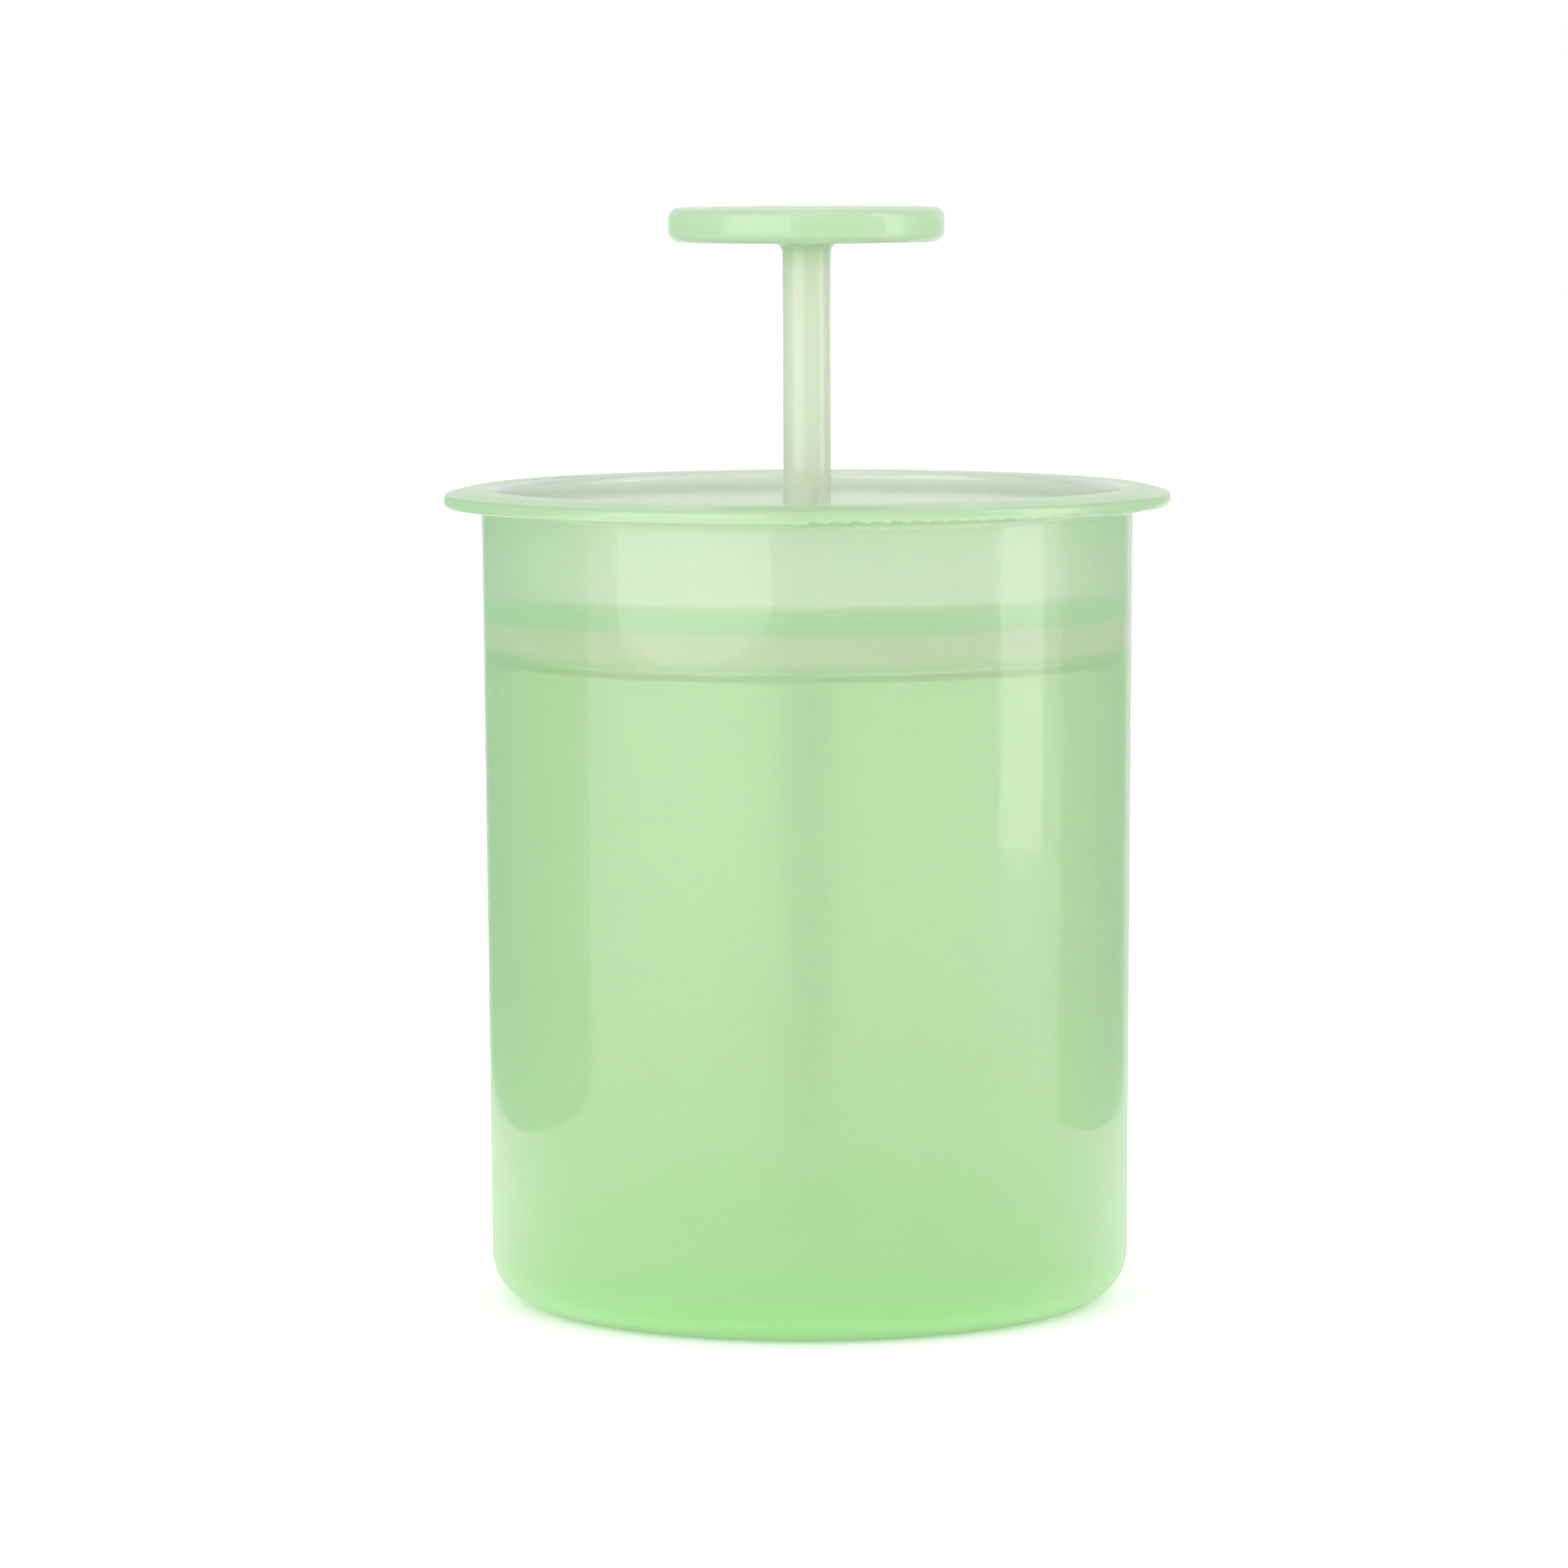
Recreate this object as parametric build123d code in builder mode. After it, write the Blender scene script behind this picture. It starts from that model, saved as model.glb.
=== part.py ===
"""Hand-pumped foam cup, in millimetres.

A tapered cup with a flanged rim holds an inner lid near its mouth and a perforated plunger on its floor.
The plunger hangs on a rod that slides and turns in the lid's guide tower and ends in a round knob.
The frame's origin is the centre of the base, with +Z up along the cup's axis. Every piece is in its place at
rest: the plunger stands on the floor, and the lid's skirt stands on a bead inside the cup.
"""

import math
import os

from build123d import *

# Cup
cup_height = 95.5
body_top_r = 38.1  # outer radius at the rim plane
body_bottom_r = 37.4  # outer radius at the base plane
wall = 1.3
floor_thickness = 2.5
base_corner_r = 5.6
flange_r = 42.5
flange_crown_r = 39.7  # the flange's top is flat up to here, and slopes down outside it
flange_drop = 0.7
flange_edge = 1.5  # thickness at the flange's edge
flange_edge_round = 0.68
flange_crown_round = 4.0
flange_root_round = 0.8
rim_inner_round = 1.0
foot_width = 4.2  # flat ring that the cup stands on
foot_relief = 0.5
bead_depth = 18.9  # from the rim plane down to the bead's top
bead_height = 0.5
bead_width = 0.75

# Inner lid
lid_depth = 11.7  # from the rim plane down to the top of the lid's band
band_height = 2.9
band_gap = 0.3  # between the band and the bore
band_width = 2.2
lid_web = 1.6
skirt_gap = 0.45  # between the lid's skirt and the bore
skirt_wall = 1.2
tower_base_r = 7.6
tower_top_r = 4.9
tower_clear = 4.0  # from the rim plane down to the tower's top
tower_core_r = 4.2  # hollow under the tower, at the plate
guide_length = 4.0

# Handle: knob and rod in one piece
rod_r = 2.8
rod_fit = 0.08  # running clearance in the guide tower and in the plunger's hub
knob_r = 16.1
knob_thickness = 4.0
knob_rise = 28.5  # from the rim plane up to the knob's underside
knob_edge_round = 1.3
knob_root_round = 1.4
neck_r = 2.1
neck_fit = 0.05  # around the neck, under the rod's shoulder and over the barb
barb_r = 2.7
barb_tip_r = 1.7
barb_length = 1.9
barb_slit = 0.8

# Plunger plate
plunger_gap = 0.35  # between the plunger's rim and the bead that it passes
foot_inset = 0.1  # keeps the skirt's foot off the cup's rounded corner
plunger_skirt_wall = 1.3
plunger_web = 1.6
plunger_web_height = 3.1  # from the floor up to the plate's underside
plunger_rim_height = 1.0  # above the plate
plunger_rim_width = 1.4
hub_r = 5.6
hub_height = 5.8  # above the plate
hole_r = 1.15
hole_pitch = 3.7
first_ring_r = 9.0
hole_margin = 0.6

# Mesh, and the retainer that holds it under the plate
mesh_thickness = 0.3
mesh_centre_r = 4.4
mesh_gap = 0.35
retainer_thickness = 1.5
retainer_fit = 0.1
retainer_bore_r = 3.4
retainer_hub_r = 5.6
retainer_ring_width = 1.6
retainer_bays = 3
retainer_spokes = 12
spoke_width = 1.5
clip_depth = 0.35

# Places that follow from the sizes above
bead_top_z = cup_height - bead_depth
band_top_z = cup_height - lid_depth
lid_under_z = band_top_z - band_height
lid_plate_z = lid_under_z + lid_web
tower_top_z = cup_height - tower_clear
guide_bottom_z = tower_top_z - guide_length
knob_bottom_z = cup_height + knob_rise
knob_top_z = knob_bottom_z + knob_thickness
plate_bottom_z = floor_thickness + plunger_web_height
plate_top_z = plate_bottom_z + plunger_web
plunger_rim_z = plate_top_z + plunger_rim_height
hub_top_z = plate_top_z + hub_height
retainer_top_z = plate_bottom_z - mesh_thickness
retainer_bottom_z = retainer_top_z - retainer_thickness
shoulder_z = plate_top_z + neck_fit
barb_top_z = plate_bottom_z - neck_fit
barb_tip_z = barb_top_z - barb_length


def body_r(z):
    """Outer radius of the cup's tapered wall at a height."""
    return body_bottom_r + (body_top_r - body_bottom_r) * z / cup_height


def bore_r(z):
    """Inner radius of the cup's wall at a height."""
    return body_r(z) - wall


def corner(outline, radius, height):
    """The corner of an outline nearest to a radius and a height."""
    return outline.vertices().sort_by_distance((radius, height, 0))[0]


base_inner_round = base_corner_r - wall
bead_inner_r = bore_r(bead_top_z) - bead_width
band_r = bore_r(lid_under_z) - band_gap
skirt_r = bore_r(bead_top_z) - skirt_gap
bore_clear_r = rod_r + rod_fit
plunger_r = min(bead_inner_r, bore_r(plate_bottom_z)) - plunger_gap
plunger_foot_r = bore_r(floor_thickness) - base_inner_round - foot_inset
plunger_core_r = plunger_foot_r - plunger_skirt_wall
retainer_r = plunger_core_r - retainer_fit

os.makedirs("parts", exist_ok=True)

# Cup: one moulding, with its flange, its foot ring and the bead that carries the lid
with BuildPart() as cup:
    foot_inner_r = body_bottom_r - base_corner_r - foot_width
    edge_top_z = cup_height - flange_drop
    flange_under_z = edge_top_z - flange_edge
    bead_low_z = bead_top_z - bead_height
    bead_foot_z = bead_low_z - bead_width
    with BuildSketch(Plane.XZ) as cup_outline:
        with BuildLine():
            Polyline(
                (0, foot_relief),
                (foot_inner_r, foot_relief),
                (foot_inner_r, 0),
                (body_bottom_r, 0),
                (body_r(flange_under_z), flange_under_z),
                (flange_r, flange_under_z),
                (flange_r, edge_top_z),
                (flange_crown_r, cup_height),
                (bore_r(cup_height), cup_height),
                (bore_r(bead_top_z), bead_top_z),
                (bead_inner_r, bead_top_z),
                (bead_inner_r, bead_low_z),
                (bore_r(bead_foot_z), bead_foot_z),
                (bore_r(floor_thickness), floor_thickness),
                (0, floor_thickness),
                close=True,
            )
        make_face()
        fillet(corner(cup_outline, body_bottom_r, 0), base_corner_r)
        fillet(corner(cup_outline, bore_r(floor_thickness), floor_thickness), base_inner_round)
        fillet(corner(cup_outline, body_r(flange_under_z), flange_under_z), flange_root_round)
        fillet(corner(cup_outline, flange_r, flange_under_z), flange_edge_round)
        fillet(corner(cup_outline, flange_r, edge_top_z), flange_edge_round)
        fillet(corner(cup_outline, flange_crown_r, cup_height), flange_crown_round)
        fillet(corner(cup_outline, bore_r(cup_height), cup_height), rim_inner_round)
    revolve(axis=Axis.Z)
cup.part.label = "cup"
export_step(cup.part, "parts/cup.step")

# Inner lid: a shallow dish with a thick band, a skirt that stands on the bead, and the rod's guide tower
with BuildPart() as inner_lid:
    dish_r = band_r - band_width
    with BuildSketch(Plane.XZ) as lid_outline:
        with BuildLine():
            Polyline(
                (bore_clear_r, tower_top_z),
                (tower_top_r, tower_top_z),
                (tower_base_r, lid_plate_z),
                (dish_r, lid_plate_z),
                (dish_r, band_top_z),
                (band_r, band_top_z),
                (band_r, lid_under_z),
                (skirt_r, lid_under_z),
                (skirt_r, bead_top_z),
                (skirt_r - skirt_wall, bead_top_z),
                (skirt_r - skirt_wall, lid_under_z),
                (tower_core_r, lid_under_z),
                (rod_r + 0.6, guide_bottom_z),
                (bore_clear_r, guide_bottom_z),
                close=True,
            )
        make_face()
        fillet(corner(lid_outline, tower_top_r, tower_top_z), 0.6)
        fillet(corner(lid_outline, tower_base_r, lid_plate_z), 1.5)
        fillet(corner(lid_outline, dish_r, lid_plate_z), 0.6)
        fillet(corner(lid_outline, dish_r, band_top_z), 0.4)
        fillet(corner(lid_outline, band_r, band_top_z), 0.5)
        fillet(corner(lid_outline, skirt_r - skirt_wall, lid_under_z), 0.5)
    revolve(axis=Axis.Z)
inner_lid.part.label = "inner_lid"
export_step(inner_lid.part, "parts/inner_lid.step")

# Handle: a round knob and its rod, with a split barb that snaps through the plunger's hub
with BuildPart() as handle_rod:
    with BuildSketch(Plane.XZ) as handle_outline:
        with BuildLine():
            Polyline(
                (0, barb_tip_z),
                (barb_tip_r, barb_tip_z),
                (barb_r, barb_top_z),
                (neck_r, barb_top_z),
                (neck_r, shoulder_z),
                (rod_r, shoulder_z),
                (rod_r, knob_bottom_z),
                (knob_r, knob_bottom_z),
                (knob_r, knob_top_z),
                (0, knob_top_z),
                close=True,
            )
        make_face()
        fillet(corner(handle_outline, rod_r, knob_bottom_z), knob_root_round)
        fillet(corner(handle_outline, knob_r, knob_bottom_z), knob_edge_round)
        fillet(corner(handle_outline, knob_r, knob_top_z), knob_edge_round)
    revolve(axis=Axis.Z)
    with BuildSketch(Plane.XY.offset(barb_tip_z)):
        Rectangle(3 * barb_r, barb_slit)
    extrude(amount=plate_top_z - barb_tip_z, mode=Mode.SUBTRACT)
handle_rod.part.label = "handle_rod"
export_step(handle_rod.part, "parts/handle_rod.step")

# Plunger plate: a perforated disc with a raised rim, a hub for the rod, and a skirt that stands on the floor
with BuildPart() as plunger_plate:
    clip_top_z = retainer_bottom_z - retainer_fit / 2
    with BuildSketch(Plane.XZ) as plate_outline:
        with BuildLine():
            Polyline(
                (neck_r + neck_fit, plate_bottom_z),
                (plunger_core_r, plate_bottom_z),
                (plunger_core_r, clip_top_z),
                (plunger_core_r - clip_depth, clip_top_z - clip_depth / 2),
                (plunger_core_r, clip_top_z - clip_depth),
                (plunger_core_r, floor_thickness),
                (plunger_foot_r, floor_thickness),
                (plunger_foot_r, plate_bottom_z - 0.6),
                (plunger_r, plate_bottom_z + 0.4),
                (plunger_r, plunger_rim_z),
                (plunger_r - plunger_rim_width, plunger_rim_z),
                (plunger_r - plunger_rim_width, plate_top_z),
                (hub_r, plate_top_z),
                (hub_r, hub_top_z),
                (bore_clear_r, hub_top_z),
                (bore_clear_r, plate_top_z),
                (neck_r + neck_fit, plate_top_z),
                close=True,
            )
        make_face()
        fillet(corner(plate_outline, plunger_r, plunger_rim_z), 0.4)
        fillet(corner(plate_outline, plunger_r - plunger_rim_width, plunger_rim_z), 0.4)
        fillet(corner(plate_outline, hub_r, plate_top_z), 1.2)
        fillet(corner(plate_outline, hub_r, hub_top_z), 0.5)
    revolve(axis=Axis.Z)
    last_ring_r = plunger_core_r - hole_r - hole_margin
    rings = int((last_ring_r - first_ring_r) / hole_pitch) + 1
    with BuildSketch(Plane.XY.offset(plate_bottom_z)):
        for ring in range(rings):
            ring_r = first_ring_r + ring * hole_pitch
            with PolarLocations(ring_r, int(2 * math.pi * ring_r / hole_pitch)):
                Circle(hole_r)
    extrude(amount=plunger_web, mode=Mode.SUBTRACT)
plunger_plate.part.label = "plunger_plate"
export_step(plunger_plate.part, "parts/plunger_plate.step")

# Foam mesh: the fine screen under the plate
with BuildPart() as foam_mesh:
    with BuildSketch(Plane.XY.offset(retainer_top_z)):
        Circle(plunger_core_r - mesh_gap)
        Circle(mesh_centre_r, mode=Mode.SUBTRACT)
    extrude(amount=mesh_thickness)
foam_mesh.part.label = "foam_mesh"
export_step(foam_mesh.part, "parts/foam_mesh.step")

# Mesh retainer: an open wheel of rings and spokes that clips into the plunger's skirt
with BuildPart() as mesh_retainer:
    bay_pitch = (retainer_r - retainer_hub_r) / retainer_bays
    with BuildSketch(Plane.XY.offset(retainer_bottom_z)):
        Circle(retainer_r)
        for bay in range(retainer_bays):
            bay_r = retainer_r - bay * bay_pitch
            Circle(bay_r - retainer_ring_width, mode=Mode.SUBTRACT)
            Circle(bay_r - bay_pitch)
        with PolarLocations((retainer_hub_r + retainer_r - retainer_ring_width / 2) / 2, retainer_spokes):
            Rectangle(retainer_r - retainer_ring_width / 2 - retainer_hub_r + 1, spoke_width)
        Circle(retainer_bore_r, mode=Mode.SUBTRACT)
    extrude(amount=retainer_thickness)
mesh_retainer.part.label = "mesh_retainer"
export_step(mesh_retainer.part, "parts/mesh_retainer.step")
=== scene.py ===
"""Looks of the hand-pumped foam cup: its milky green plastics, its mesh, and a plain studio, in metres.

Every CAD node keeps its shape and gets its finish here. The cup's wall blurs what stands behind it, as
frosted polypropylene does, and thick plastic is a deeper green than thin.
"""

import math

import bpy
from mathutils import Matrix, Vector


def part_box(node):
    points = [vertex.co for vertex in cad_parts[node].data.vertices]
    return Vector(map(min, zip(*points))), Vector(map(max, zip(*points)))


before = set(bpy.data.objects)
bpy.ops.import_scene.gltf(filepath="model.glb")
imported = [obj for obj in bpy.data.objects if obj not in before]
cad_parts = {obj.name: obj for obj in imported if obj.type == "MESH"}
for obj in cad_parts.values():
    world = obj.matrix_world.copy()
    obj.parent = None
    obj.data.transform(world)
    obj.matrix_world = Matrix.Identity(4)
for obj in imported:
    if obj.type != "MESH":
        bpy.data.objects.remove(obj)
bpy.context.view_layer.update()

cup_low, cup_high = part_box("cup")
lid_low, lid_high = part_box("inner_lid")
wall_slope = 0.0073  # how fast the wall's radius grows with height


# Shader building


class Socket:
    """A node's output, with arithmetic that adds Math nodes to the same tree."""

    def __init__(self, paint, output):
        self.paint = paint
        self.output = output

    def _math(self, operation, first, second):
        return self.paint.node("Math", {"operation": operation}, first, second)

    def __add__(self, other):
        return self._math("ADD", self, other)

    def __radd__(self, other):
        return self._math("ADD", other, self)

    def __sub__(self, other):
        return self._math("SUBTRACT", self, other)

    def __rsub__(self, other):
        return self._math("SUBTRACT", other, self)

    def __mul__(self, other):
        return self._math("MULTIPLY", self, other)

    def __rmul__(self, other):
        return self._math("MULTIPLY", other, self)

    def __truediv__(self, other):
        return self._math("DIVIDE", self, other)

    def __rtruediv__(self, other):
        return self._math("DIVIDE", other, self)

    def __pow__(self, other):
        return self._math("POWER", self, other)


class Paint:
    """One material and the nodes in it."""

    def __init__(self, name):
        self.material = bpy.data.materials.new(name)
        self.material.use_nodes = True
        self.tree = self.material.node_tree
        self.tree.nodes.clear()

    def node(self, kind, settings=None, *values, output=0, **named):
        """Adds a node, with its settings first, then its sockets' values or links by order or by name."""
        made = self.tree.nodes.new("ShaderNode" + kind)
        for key, value in (settings or {}).items():
            if key == "stops":
                ramp = made.color_ramp
                while len(ramp.elements) < len(value):
                    ramp.elements.new(1.0)
                for element, (place, colour) in zip(ramp.elements, value):
                    element.position = place
                    element.color = colour
            else:
                setattr(made, key, value)
        sockets = list(enumerate(values)) + [(key.replace("_", " "), value) for key, value in named.items()]
        for key, value in sockets:
            if isinstance(value, Socket):
                self.tree.links.new(value.output, made.inputs[key])
            elif value is not None:
                made.inputs[key].default_value = value
        return Socket(self, made.outputs[output])

    def place(self):
        """A point of the piece, in metres, in the row's frame."""
        return self.node("TexCoord", None, output="Object")

    def axes(self, vector):
        """The three numbers of a vector."""
        made = self.node("SeparateXYZ", None, vector).output.node
        return [Socket(self, output) for output in made.outputs]

    def band(self, value, low, high, start=0.0, end=1.0):
        """A smooth step from start to end as value goes from low to high."""
        settings = {"interpolation_type": "SMOOTHSTEP"}
        return self.node("MapRange", settings, value, low, high, start, end)

    def noise(self, size, detail=3.0, roughness=0.5, stretch=(1.0, 1.0, 1.0)):
        """Soft noise from 0 to 1 whose patches are about size metres across."""
        scale = [1.0 / (size * s) for s in stretch]
        moved = self.node("Mapping", None, self.place(), None, None, scale)
        return self.node("TexNoise", None, Vector=moved, Scale=1.0, Detail=detail, Roughness=roughness)

    def mix(self, factor, first, second):
        """A colour between two others."""
        made = self.tree.nodes.new("ShaderNodeMix")
        made.data_type = "RGBA"
        for socket, value in zip((made.inputs[0], made.inputs[6], made.inputs[7]), (factor, first, second)):
            if isinstance(value, Socket):
                self.tree.links.new(value.output, socket)
            else:
                socket.default_value = value
        return Socket(self, made.outputs[2])

    def finish(self, surface, volume=None):
        out = self.tree.nodes.new("ShaderNodeOutputMaterial")
        self.tree.links.new(surface.output, out.inputs["Surface"])
        if volume is not None:
            self.tree.links.new(volume.output, out.inputs["Volume"])
        return self.material


def milky_plastic(name, shades, clear, frost, depth, inner_colour=None, bore=0.0367, dense=None):
    """Frosted polypropylene.

    shades lists its colours from the bottom up, each with the two heights between which it takes over.
    clear is how much light goes through, frost is how rough that makes the view behind it, and depth scales
    how fast the plastic absorbs red and blue. The inside colour is for what stands nearer the axis than
    bore:
    on the cup it is painted brightness on the inner wall, on the lid a pale pink-white over its dish.
    dense is how much light goes through the cup's thick floor and its flange.
    """
    paint = Paint(name)
    x, y, z = paint.axes(paint.place())
    cloud = paint.noise(0.018, detail=2.0)
    flow = paint.noise(0.006, detail=4.0, roughness=0.6, stretch=(1.0, 1.0, 6.0))
    unevenness = (cloud - 0.5) * 0.006 * paint.band(z, 0.060, 0.075, 1.0, 0.0)
    level = z + unevenness
    colour = shades[0][2]
    for low, high, shade in shades[1:]:
        colour = paint.mix(paint.band(level, low, high), colour, shade)
    # inside colour near the axis; on the cup this is painted brightness on the inner wall, standing in for
    # light inside the cup
    if inner_colour:
        radius = (x * x + y * y) ** 0.5 - z * wall_slope
        within = paint.band(radius, bore - 0.0003, bore + 0.0003, 1.0, 0.0)
        inside = within * paint.band(z, 0.004, 0.009)
        colour = paint.mix(inside, colour, inner_colour)
    streaked = paint.mix(flow * 0.10, colour, shades[-1][2])
    frosting = frost * (0.9 + 0.2 * flow)
    skin = paint.noise(0.0011, detail=3.0, roughness=0.65)
    wave = paint.noise(0.009, detail=1.0, stretch=(1.0, 1.0, 2.5))
    relief = paint.node("Bump", None, Height=skin * 0.15 + wave, Strength=0.025, Distance=0.0004)
    grazing = paint.node("LayerWeight", None, 0.5, output="Facing")
    gloss = paint.band(grazing, 0.5, 0.9, 1.0, 0.15)

    def resin(share):
        return paint.node(
            "BsdfPrincipled",
            {"subsurface_method": "RANDOM_WALK"},
            Base_Color=streaked,
            Roughness=frosting,
            IOR=1.49,
            Normal=relief,
            Specular_IOR_Level=0.4,
            Transmission_Weight=share,
            Subsurface_Weight=1.0,
            Subsurface_Radius=(0.8, 1.0, 0.7),
            Subsurface_Scale=0.002,
            Coat_Weight=gloss,
            Coat_Roughness=0.02,
            Coat_IOR=1.5,
        )

    surface = resin(clear)
    if dense is not None:
        thin = paint.band(z, 0.0, 0.045) * paint.band(z, 0.0915, 0.0935, 1.0, 0.0)
        surface = paint.node("MixShader", None, thin, resin(dense), surface)
    volume = paint.node("VolumeAbsorption", None, Color=(0.50, 1.0, 0.17, 1.0), Density=depth)
    return paint.finish(surface, volume)


def nylon_screen():
    """The fine woven screen, off-white, with square openings between round threads."""
    paint = Paint("nylon_screen")
    pitch = 0.0006
    x, y, z = paint.axes(paint.place())
    threads = []
    for across in (x, y):
        wave = paint.node("Math", {"operation": "PINGPONG"}, across, pitch / 2)
        threads.append(paint.band(wave, pitch * 0.16, pitch * 0.22, 1.0, 0.0))
    cover = paint.node("Math", {"operation": "MAXIMUM"}, threads[0], threads[1])
    shade = paint.mix(paint.noise(0.002), (0.80, 0.84, 0.78, 1.0), (0.88, 0.90, 0.86, 1.0))
    relief = paint.node("Bump", None, Height=cover, Strength=0.6, Distance=0.0001)
    surface = paint.node(
        "BsdfPrincipled", None, Base_Color=shade, Roughness=0.45, Normal=relief, Alpha=cover * 0.9
    )
    return paint.finish(surface)


def dress(node, material):
    """Gives a CAD node its finish."""
    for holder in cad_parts[node].material_slots:
        holder.material = material


# Finishes

lid_band_top = cup_high.z - 0.0117
lid_band_low = cup_high.z - 0.0146

cup_shades = [
    (0.0, 0.0, (0.50, 0.95, 0.39, 1.0)),  # at the floor
    (0.0, 0.045, (0.64, 0.93, 0.52, 1.0)),  # the wall
    (lid_low.z + 0.0002, lid_low.z + 0.0009, (0.76, 0.97, 0.62, 1.0)),  # over the bead that carries the lid: paler where the lid's skirt stands behind the wall, painted brightness
    (lid_band_low - 0.0006, lid_band_low, (0.64, 0.97, 0.58, 1.0)),  # in front of the lid's band: a painted green ring that stands in for the lid's band seen through the wall
    (lid_band_top - 0.0012, lid_band_top - 0.0004, (0.69, 0.86, 0.62, 1.0)),  # the empty top of the wall
    (cup_high.z - 0.0035, cup_high.z - 0.0020, (0.57, 0.77, 0.50, 1.0)),  # the flange
]
cup_plastic = milky_plastic(
    "cup_plastic_milky",
    cup_shades,
    clear=0.61,
    frost=0.3,
    depth=54.0,
    # painted brightness: the cup's inner wall is painted near white so its inside and mouth look light
    inner_colour=(0.98, 0.98, 0.96, 1.0),
    bore=0.0367,
    dense=0.40,
)
dress("cup", cup_plastic)

lid_shades = [
    (0.0, 0.0, (0.93, 0.98, 0.88, 1.0)),  # the skirt
    (lid_band_low - 0.0006, lid_band_low, (0.50, 0.95, 0.40, 1.0)),  # the thick band
]
lid_plastic = milky_plastic(
    "lid_plastic_milky",
    lid_shades,
    clear=0.2,
    frost=0.35,
    depth=20.0,
    inner_colour=(0.97, 0.94, 0.93, 1.0),
    bore=0.0340,
)
dress("inner_lid", lid_plastic)

handle_shades = [
    (0.0, 0.0, (0.85, 0.95, 0.80, 1.0)),  # the rod inside the cup, painted paler: painted brightness where little light reaches it
    (0.085, 0.095, (0.85, 0.88, 0.77, 1.0)),  # the rod above the lid
    (0.120, 0.124, (0.65, 0.82, 0.58, 1.0)),  # the knob
]
handle_plastic = milky_plastic("handle_plastic_milky", handle_shades, clear=0.3, frost=0.4, depth=120.0)
dress("handle_rod", handle_plastic)

plunger_shades = [(0.0, 0.0, (0.50, 0.92, 0.42, 1.0))]
plunger_plastic = milky_plastic("plunger_plastic_milky", plunger_shades, clear=0.4, frost=0.35, depth=120.0)
dress("plunger_plate", plunger_plastic)
dress("mesh_retainer", plunger_plastic)
dress("foam_mesh", nylon_screen())


# Studio


def table_top():
    """The wide pale sheet that the cup stands on. It glows faintly: painted light that brightens the cup
    from below and washes out its shadow.
    """
    bpy.ops.object.select_all(action="DESELECT")
    bpy.ops.mesh.primitive_plane_add(size=9.0, location=(0.0, 0.0, 0.0))
    made = bpy.context.object
    made.name = "table_top"
    paint = Paint("white_table_paper_glowing")
    grain = paint.noise(0.0006, detail=3.0)
    shade = paint.mix(paint.noise(0.25), (0.94, 0.94, 0.94, 1.0), (0.96, 0.96, 0.96, 1.0))
    relief = paint.node("Bump", None, Height=grain, Strength=0.2, Distance=0.0001)
    surface = paint.node(
        "BsdfPrincipled",
        None,
        Base_Color=shade,
        Roughness=0.9,
        Normal=relief,
        # the sheet's faint glow, painted light
        Emission_Color=(1.0, 1.0, 1.0, 1.0),
        Emission_Strength=0.28,
    )
    made.data.materials.append(paint.finish(surface))


def softbox(name, turn, distance, width, low, high, glow, shine=False):
    """A tall rectangular light that faces the cup. turn is its bearing from the camera's side, in degrees.

    With shine it shows only as a reflection in the gloss.
    """
    light = bpy.data.lights.new(name, "AREA")
    light.shape = "RECTANGLE"
    light.size = width
    light.size_y = high - low
    light.energy = glow * width * (high - low)
    made = bpy.data.objects.new(name, light)
    bearing = math.radians(turn)
    made.location = (distance * math.sin(bearing), -distance * math.cos(bearing), (low + high) / 2)
    made.rotation_euler = (math.radians(90), 0, bearing)
    made.visible_camera = False
    if shine:
        made.visible_diffuse = False
        made.visible_transmission = False
    bpy.context.scene.collection.objects.link(made)


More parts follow.
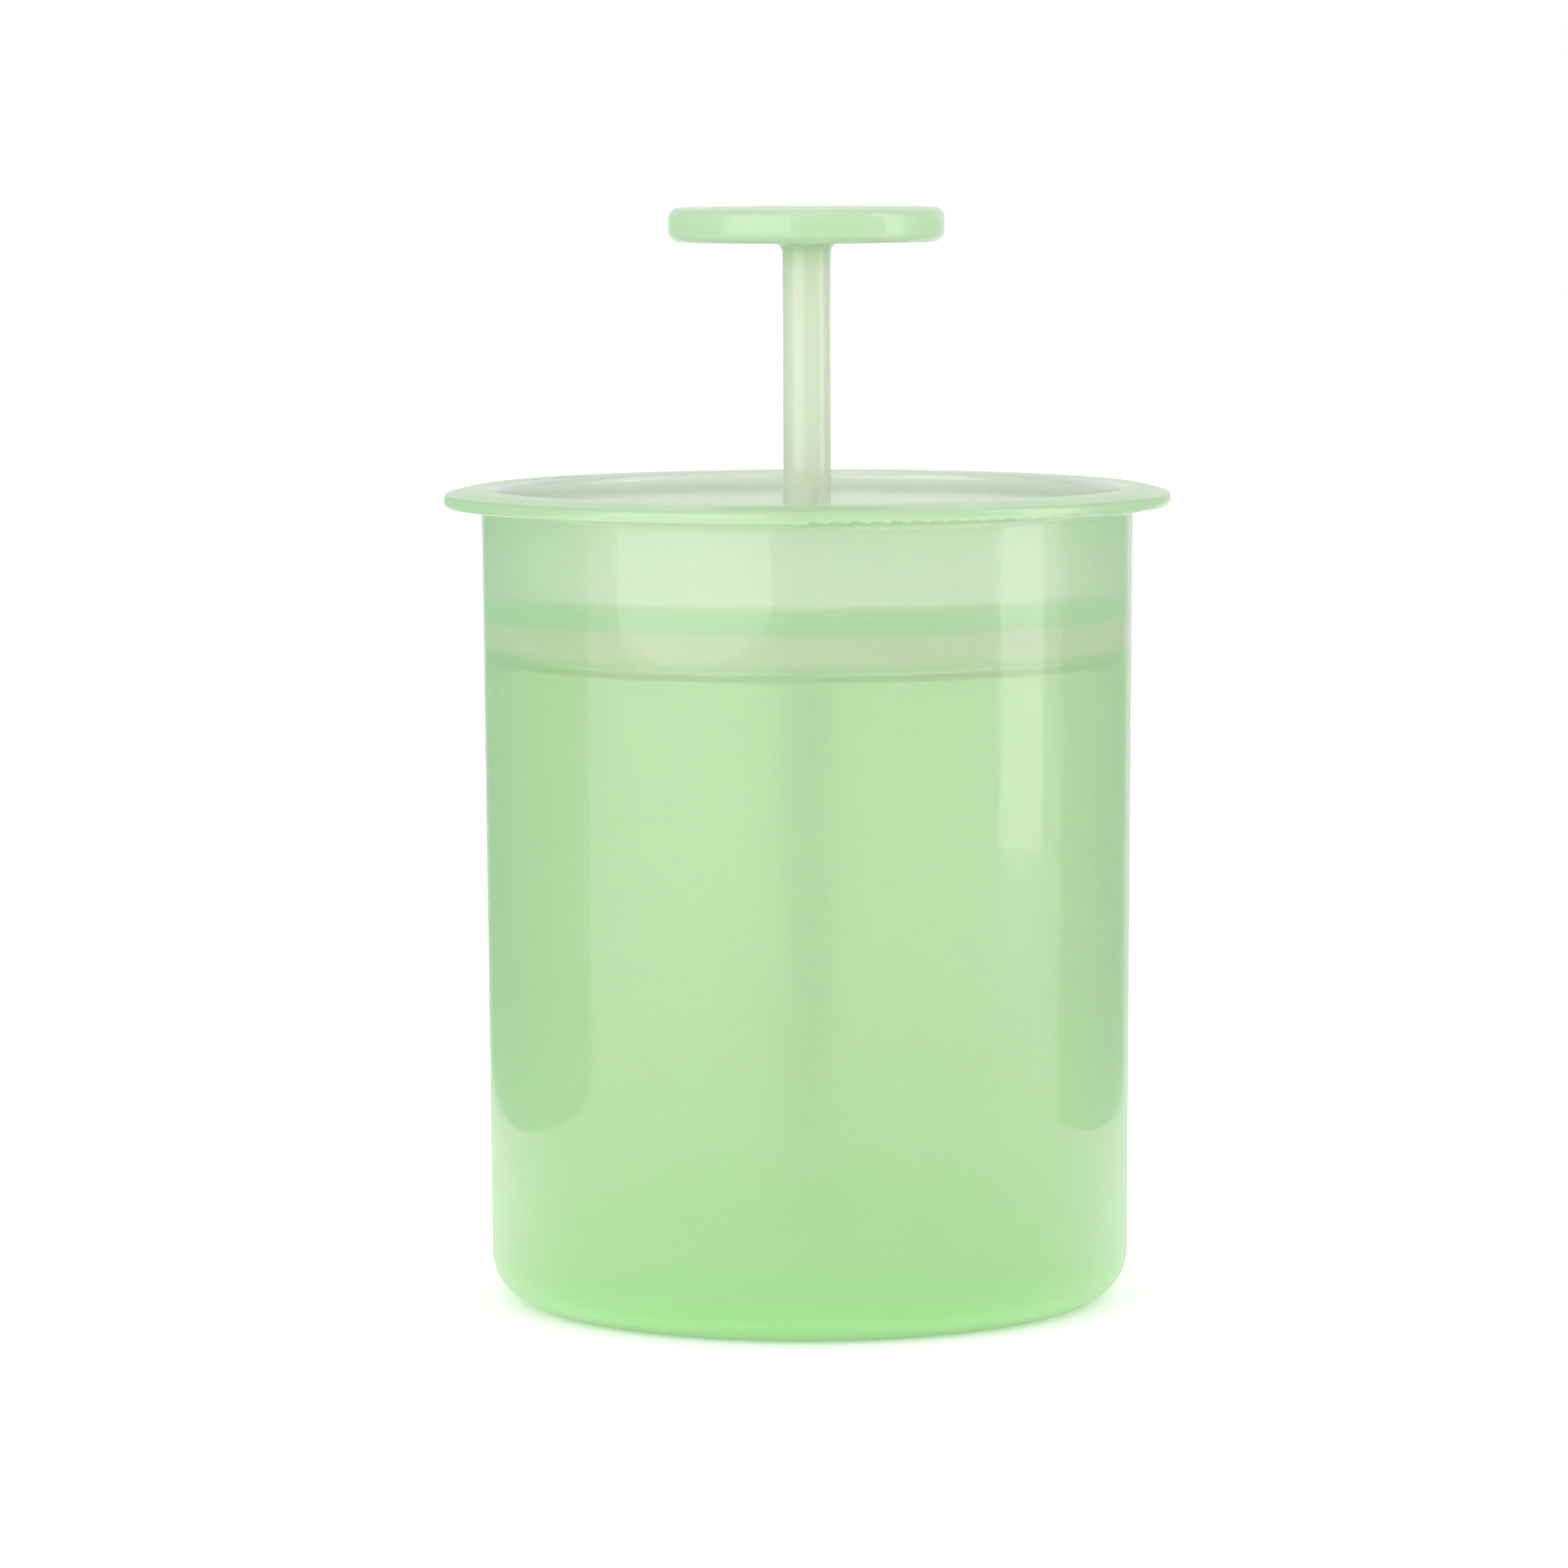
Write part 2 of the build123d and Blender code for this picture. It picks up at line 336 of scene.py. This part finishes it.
def green_card(name, turn, distance, width, colour):
    """A tall green card beside the cup. It shows only in reflections, where it darkens the gloss."""
    bpy.ops.object.select_all(action="DESELECT")
    bpy.ops.mesh.primitive_plane_add(size=1.0, location=(0.0, 0.0, 0.0))
    made = bpy.context.object
    made.name = name
    bearing = math.radians(turn)
    bpy.ops.object.mode_set(mode="EDIT")
    bpy.ops.mesh.select_all(action="SELECT")
    bpy.ops.transform.resize(value=(width, 0.7, 1.0))
    bpy.ops.transform.rotate(value=math.radians(90), orient_axis="X", center_override=(0.0, 0.0, 0.0))
    bpy.ops.transform.rotate(value=-bearing, orient_axis="Z", center_override=(0.0, 0.0, 0.0))
    place = (distance * math.sin(bearing), -distance * math.cos(bearing), 0.352)
    bpy.ops.transform.translate(value=place)
    bpy.ops.object.mode_set(mode="OBJECT")
    made.visible_camera = False
    made.visible_diffuse = False
    made.visible_transmission = False
    made.visible_shadow = False
    paint = Paint(name + "_cloth")
    # paler patches on the card, which show only as lighter patches in its painted reflection on the cup
    paler_patches = tuple(part * 1.2 for part in colour[:3]) + (1.0,)
    shade = paint.mix(paint.noise(0.01), colour, paler_patches)
    surface = paint.node("BsdfPrincipled", None, Base_Color=shade, Roughness=0.95)
    made.data.materials.append(paint.finish(surface))


window_turn, window_wide = -40.6, 0.86
strip_turn, strip_wide = 77.8, 0.138
light_glow = 1.1
shine_glow = 3.2

table_top()
green_card("left_card", -115.0, 0.15, 0.24, (0.32, 0.60, 0.40, 1.0))
green_card("right_card", 117.0, 0.15, 0.15, (0.38, 0.57, 0.42, 1.0))
softbox("window_light", window_turn, 0.82, window_wide, 0.0, 0.9, light_glow)
softbox("strip_light", strip_turn, 0.42, strip_wide, 0.0, 0.6, light_glow)
softbox("window_shine", window_turn, 0.80, window_wide, 0.005, 0.9, shine_glow, shine=True)
softbox("strip_shine", strip_turn, 0.40, strip_wide, 0.012, 0.6, shine_glow, shine=True)

world = bpy.data.worlds.new("studio")
world.use_nodes = True
world.node_tree.nodes["Background"].inputs["Color"].default_value = (1.0, 0.985, 0.99, 1.0)
world.node_tree.nodes["Background"].inputs["Strength"].default_value = 1.02
bpy.context.scene.world = world
bpy.context.scene.view_settings.view_transform = "Standard"


# Camera

camera_back = 0.800
camera_rise = 0.0423  # above the cup's rim
camera_tilt = 5.52  # degrees down
camera_lean = 0.20  # degrees to one side

camera_data = bpy.data.cameras.new("camera")
camera_data.lens = 157.1
camera_data.sensor_width = 36.0
camera_data.shift_x = -0.0140
camera = bpy.data.objects.new("camera", camera_data)
camera.location = (0.0, -camera_back, cup_high.z + camera_rise)
camera.rotation_euler = (math.radians(90 - camera_tilt), math.radians(camera_lean), 0.0)
bpy.context.scene.collection.objects.link(camera)
bpy.context.scene.camera = camera
